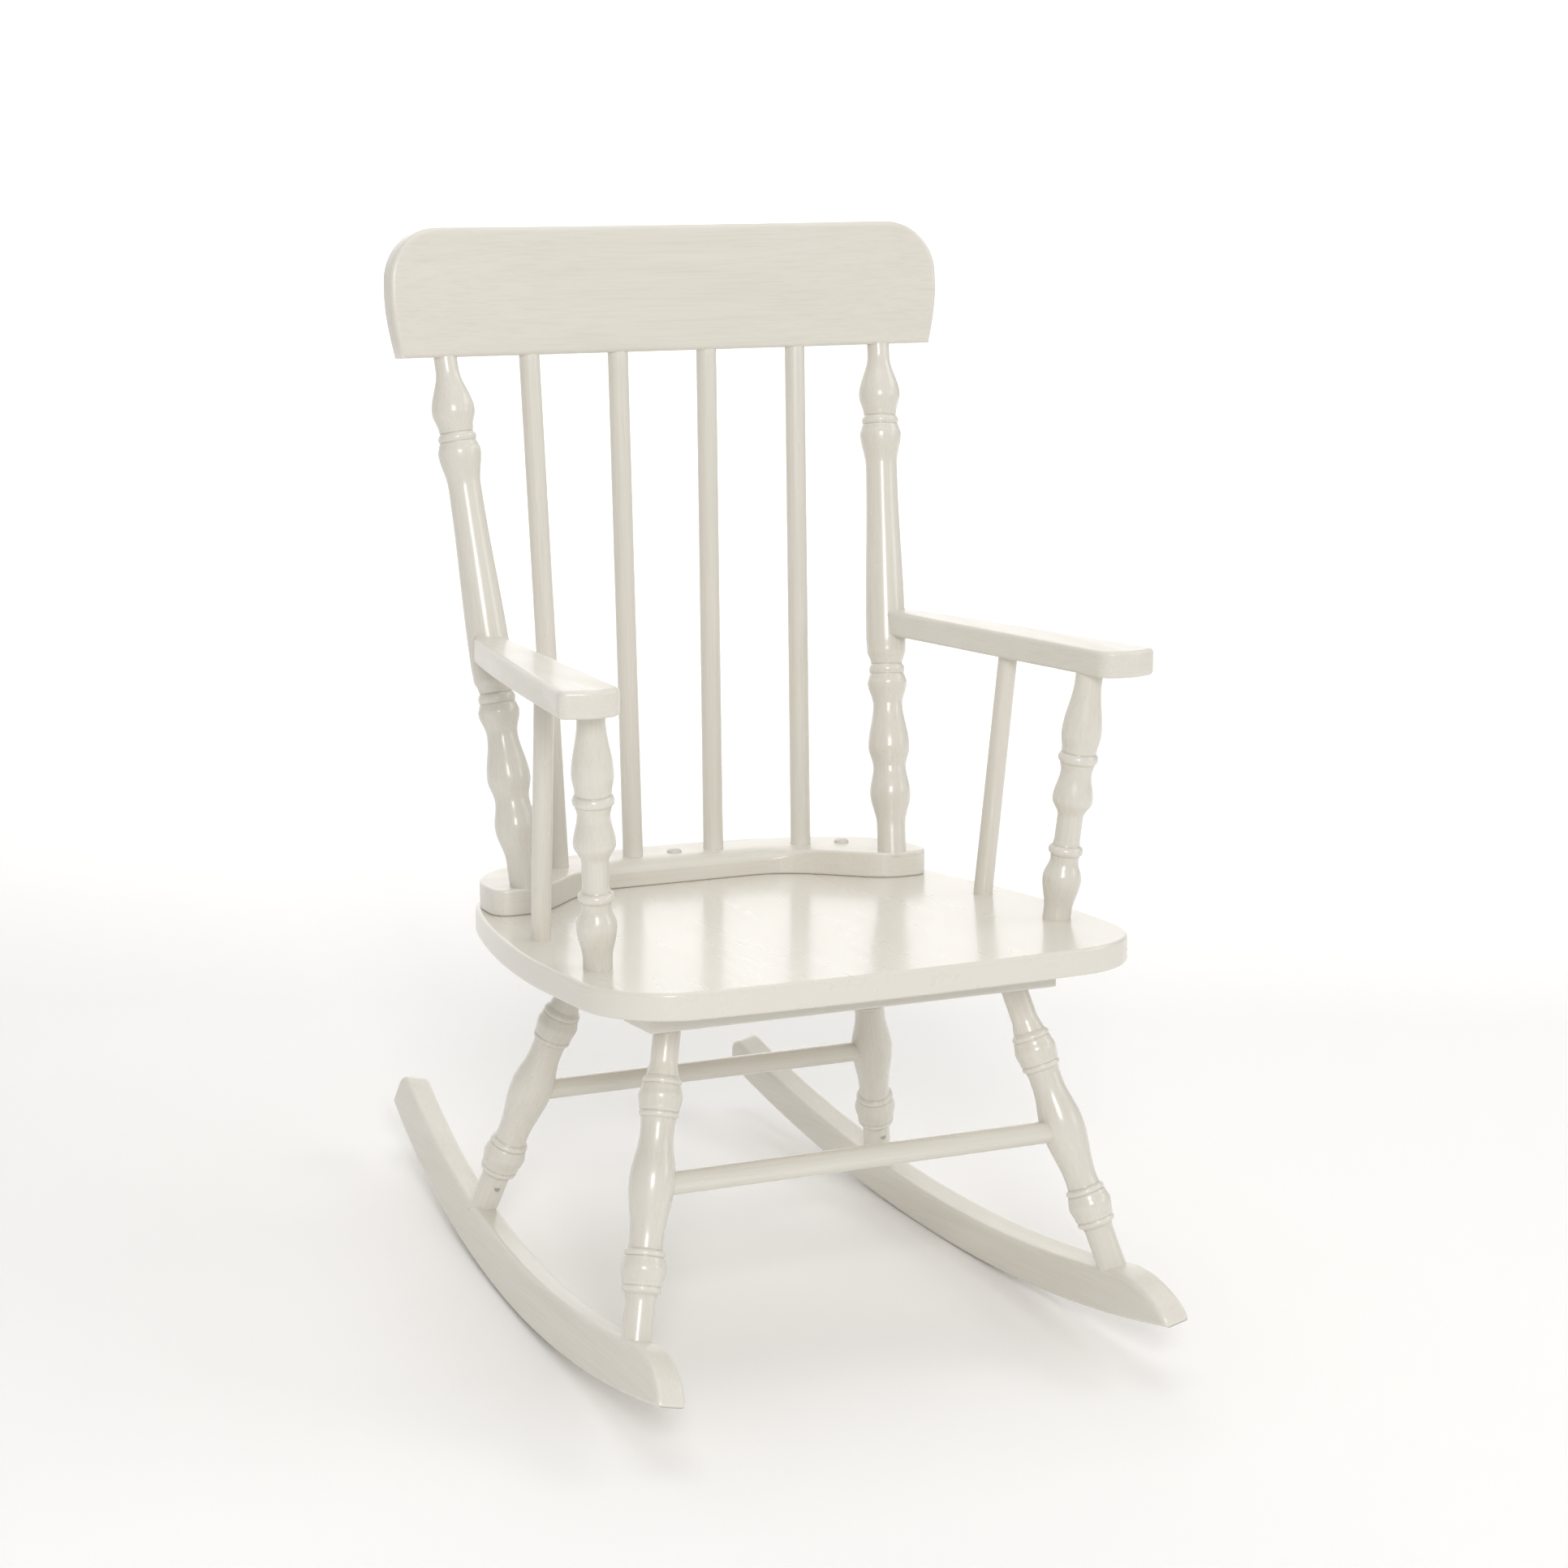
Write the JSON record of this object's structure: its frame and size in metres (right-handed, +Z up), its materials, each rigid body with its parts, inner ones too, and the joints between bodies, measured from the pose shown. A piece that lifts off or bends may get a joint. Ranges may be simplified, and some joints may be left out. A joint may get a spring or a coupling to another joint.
{
  "type": "rocking chair",
  "caption": "Child's spindle-back rocking chair in painted wood: shaped plank seat, broad curved crest rail, flat arms, turned posts and splayed legs on slanted rockers.",
  "frame": {"origin": "on the floor, midway between the rockers, under their line of contact when the chair stands at rest", "axes": "+Z up, +Y towards the chair's back, +X towards the sitter's left; the chair is in its resting lean"},
  "size_m": [0.4284, 0.5634, 0.7026],
  "materials": {
    "painted_board": "warm white satin paint over smooth boards, faint grain showing",
    "painted_turning": "warm white semi-gloss paint over turned members",
    "screw_steel": "plain zinc-plated steel"
  },
  "bodies": {
    "root": {"seat_board": "painted_board", "back_rail": "painted_board", "crest_rail": "painted_board", "back_post_left": "painted_turning", "back_post_right": "painted_turning", "back_spindle_1": "painted_turning", "back_spindle_2": "painted_turning", "back_spindle_3": "painted_turning", "back_spindle_4": "painted_turning", "arm_left": "painted_board", "arm_right": "painted_board", "arm_post_left": "painted_turning", "arm_post_right": "painted_turning", "arm_spindle_left": "painted_turning", "arm_spindle_right": "painted_turning", "front_cleat": "painted_board", "rear_cleat": "painted_board", "front_leg_left": "painted_turning", "front_leg_right": "painted_turning", "rear_leg_left": "painted_turning", "rear_leg_right": "painted_turning", "front_stretcher": "painted_turning", "rear_stretcher": "painted_turning", "rocker_left": "painted_board", "rocker_right": "painted_board", "rail_screws": "screw_steel", "rail_plugs": "painted_turning", "cleat_screws": "screw_steel", "arm_screws": "screw_steel", "arm_plugs": "painted_turning", "leg_brads": "screw_steel"}
  },
  "joints": []
}
